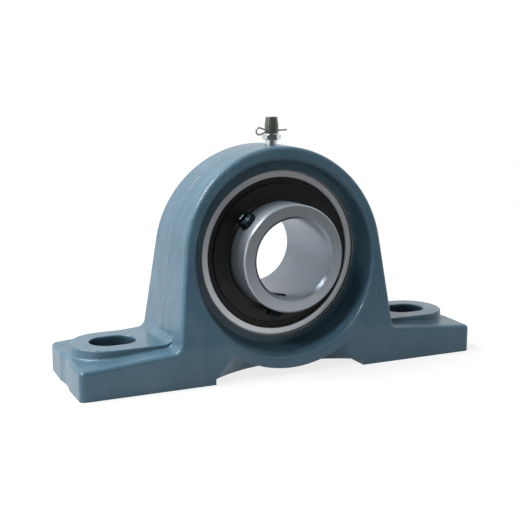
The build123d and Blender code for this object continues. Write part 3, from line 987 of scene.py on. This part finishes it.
@dataclass(frozen=True)
class ValveSpring:
    """The coil spring under the valve ball, built at one length; the real one shortens as the ball goes
    down.
    """

    wire: float = 0.25 * MM
    diameter: float = 1.9 * MM
    coils: int = 4
    lift: float = 0.6 * MM
    steps: int = 36
    sides: int = 12
    sharp: float = 50.0

    def build(self, material: bpy.types.Material) -> bpy.types.Object:
        """Makes the spring.

        Args:
            material: its finish.

        Returns:
            The spring, riding on the housing's body.
        """
        low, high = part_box("nipple_spring")
        foot = Vector(((low.x + high.x) / 2, (low.y + high.y) / 2, low.z + self.wire / 2))
        height = high.z - low.z - self.wire
        radius = (self.diameter - self.wire) / 2
        climb = height / (2 * pi * radius * self.coils)
        count = self.steps * self.coils
        points: list[Point] = []
        for step in range(count + 1):
            angle = 2 * pi * step / self.steps
            outward = Vector((cos(angle), sin(angle), 0))
            middle = outward * radius + Vector((0, 0, height * step / count))
            way = Vector((-sin(angle), cos(angle), climb)).normalized()
            upward = outward.cross(way)
            for side in range(self.sides):
                turn = 2 * pi * side / self.sides
                rim = outward * cos(turn) + upward * sin(turn)
                points.append(tuple(middle + rim * (self.wire / 2)))
        # These rings are wound the other way from the screw's, so each quad is turned over.
        faces = [[a, d, c, b] for a, b, c, d in tube_faces(count + 1, self.sides)]
        last = count * self.sides
        faces.append(list(range(self.sides)))
        faces.append([last + side for side in reversed(range(self.sides))])
        spring = mesh_piece("coil_spring", points, faces, Matrix.Translation(foot), material)
        smooth(spring, self.sharp)
        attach(spring, "housing_body")
        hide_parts("nipple_spring")
        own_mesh(spring)
        return spring


@dataclass(frozen=True)
class GreaseNipple:
    """The nipple with its valve, cap and split pin."""

    spring: ValveSpring = ValveSpring()

    def dress(self) -> None:
        """Gives each piece its finish."""
        clothe(["nipple_body"], ZINC.build())
        clothe(["nipple_ball"], BALL_STEEL.build())
        self.spring.build(SPRING_STEEL.build())
        clothe(["nipple_cap"], OLIVE.build())
        clothe(["split_pin"], PIN_WIRE.build())


# ------------------------------------------------------------------ studio
@dataclass(frozen=True)
class Camera:
    """The camera's place, given as a turn round a point it looks at."""

    azimuth: float = -24.56
    elevation: float = 10.65
    roll: float = 0.15
    target: Point = (-5.06 * MM, 0.17 * MM, 60.9 * MM)
    distance: float = 561.8 * MM
    lens: float = 66.36
    sensor: float = 36.0
    clip_start: float = 10 * MM

    def build(self) -> None:
        """Makes the camera and gives it to the scene."""
        a, e, r = radians(self.azimuth), radians(self.elevation), radians(self.roll)
        back = Vector((sin(a) * cos(e), -cos(a) * cos(e), sin(e)))
        right = Vector((cos(a), sin(a), 0))
        up = back.cross(right)
        rolled_right = cos(r) * right + sin(r) * up
        rolled_up = cos(r) * up - sin(r) * right
        turn = Matrix((rolled_right, rolled_up, back)).transposed().to_4x4()
        data = bpy.data.cameras.new("camera")
        data.lens = self.lens
        data.sensor_width = self.sensor
        data.clip_start = self.clip_start
        data.dof.use_dof = False
        thing = bpy.data.objects.new("camera", data)
        thing.matrix_world = Matrix.Translation(Vector(self.target) + back * self.distance) @ turn
        bpy.context.scene.collection.objects.link(thing)
        bpy.context.scene.camera = thing


@dataclass(frozen=True)
class SoftBox:
    """A white area lamp aimed at the part, square unless its height is given."""

    name: str
    place: Point
    size: float
    power: float
    height: float = 0.0
    aim: Point = (0, 0, 60 * MM)

    def build(self) -> None:
        """Makes the lamp."""
        data = bpy.data.lights.new(self.name, "AREA")
        data.shape = "RECTANGLE"
        data.size = self.size
        data.size_y = self.height or self.size
        data.energy = self.power
        thing = bpy.data.objects.new(self.name, data)
        away = Vector(self.place) - Vector(self.aim)
        thing.rotation_euler = away.to_track_quat("Z", "Y").to_euler()
        thing.location = self.place
        bpy.context.scene.collection.objects.link(thing)


class Rays:
    """Which kind of ray meets a surface: 1 for its own kind and 0 for the others."""

    def __init__(self, graph: Graph) -> None:
        """Reads the ray.

        Args:
            graph: the graph that uses it.
        """
        kinds = graph.node("ShaderNodeLightPath").outputs
        self.camera = Signal(graph, kinds["Is Camera Ray"])
        self.glossy = Signal(graph, kinds["Is Glossy Ray"])
        self.through = Signal(graph, kinds["Is Transmission Ray"])


@dataclass(frozen=True)
class Studio:
    """A pale floor, a white surround that is dim towards the front, and soft lamps."""

    floor_half: float = 3.0
    floor_front: float = -0.245
    floor_drop: float = 0.05 * MM
    floor_colour: Colour = (0.58, 0.58, 0.58)
    seen_floor: Colour = (0.90, 0.90, 0.90)
    floor_glow: float = 0.80
    glow_band: Band = (0.25, 0.75)
    front_fade: float = 0.05
    surround_colour: Colour = (0.95, 0.985, 1.0)
    surround_bright: float = 0.55
    surround_shine: float = 1.0
    surround_dim: float = 0.26
    surround_front: float = 0.10
    dim_way: Point = (-0.30, -0.92, 0.10)
    dim_band: Band = (0.0, 0.75)
    front_band: Band = (0.86, 0.97)
    lamps: tuple[SoftBox, ...] = (
        SoftBox("lamp_back_left", (-0.78, 0.30, 1.08), 0.60, 25.5),
        SoftBox("lamp_front_left", (-0.86, -0.50, 1.08), 0.22, 7.6),
        SoftBox("lamp_left", (-1.15, -0.31, 0.24), 0.42, 1.9, height=0.30),
    )

    def build(self) -> None:
        """Makes floor, surround and lamps."""
        self.lay_floor()
        self.surround()
        for lamp in self.lamps:
            lamp.build()
        bpy.context.scene.view_settings.view_transform = "Standard"

    def lay_floor(self) -> None:
        """Makes the floor: white where it is seen or mirrored, with the part's soft shadow."""
        material, graph = new_graph("floor")
        rays = Rays(graph)
        place = Place(graph)
        seen = rays.camera.larger(rays.glossy.larger(rays.through))
        away = place.from_origin().step(*self.glow_band)
        away = away.larger(place.y.step(self.floor_front + self.front_fade, self.floor_front))
        share = seen * (self.floor_glow + (1 - self.floor_glow) * away)
        tone = graph.blend(seen, self.floor_colour, self.seen_floor)
        lit = graph.node("ShaderNodeBsdfDiffuse", inputs={"Color": tone})
        glow = graph.node("ShaderNodeEmission", inputs={"Color": WHITE, "Strength": 1.0})
        layers = {0: share, 1: lit.outputs[0], 2: glow.outputs[0]}
        mixed = graph.node("ShaderNodeMixShader", inputs=layers)
        graph.node("ShaderNodeOutputMaterial", inputs={"Surface": mixed.outputs[0]})
        side, front = self.floor_half, self.floor_front
        corners = [(-side, front, 0), (side, front, 0), (side, side, 0), (-side, side, 0)]
        down = Matrix.Translation((0, 0, -self.floor_drop))
        floor = mesh_piece("floor", corners, [(0, 1, 2, 3)], down, material)

    def surround(self) -> None:
        """Makes the surround: white where it is seen, and dim in front for what it lights."""
        world = bpy.data.worlds.new("surround")
        world.use_nodes = True
        bpy.context.scene.world = world
        graph = Graph(world.node_tree)
        rays = Rays(graph)
        seen = rays.camera.larger(rays.through)
        x, y, z = graph.split(graph.node("ShaderNodeTexCoord").outputs["Generated"])
        frontward = x * self.dim_way[0] + y * self.dim_way[1] + z * self.dim_way[2]
        bright = self.surround_bright + (self.surround_shine - self.surround_bright) * rays.glossy
        level = bright - (bright - self.surround_dim) * frontward.step(*self.dim_band)
        fall = self.surround_dim - self.surround_front
        level = level - fall * frontward.step(*self.front_band)
        colour = graph.blend(seen.larger(rays.glossy), self.surround_colour, WHITE)
        inputs = {"Color": colour, "Strength": seen + (1 - seen) * level}
        shade = graph.node("ShaderNodeBackground", inputs=inputs)
        graph.node("ShaderNodeOutputWorld", inputs={"Surface": shade.outputs[0]})


SET_SCREWS = (SetScrew(1, 138.0), SetScrew(2, 258.0))


def main() -> None:
    """Builds the camera, the pieces and the studio."""
    logging.basicConfig(level=logging.INFO, format="%(message)s")
    Camera().build()
    Housing().dress()
    Insert().dress()
    black = BLACK_OXIDE.build()
    for screw in SET_SCREWS:
        screw.build(black)
    GreaseNipple().dress()
    Studio().build()


if __name__ == "__main__":
    main()
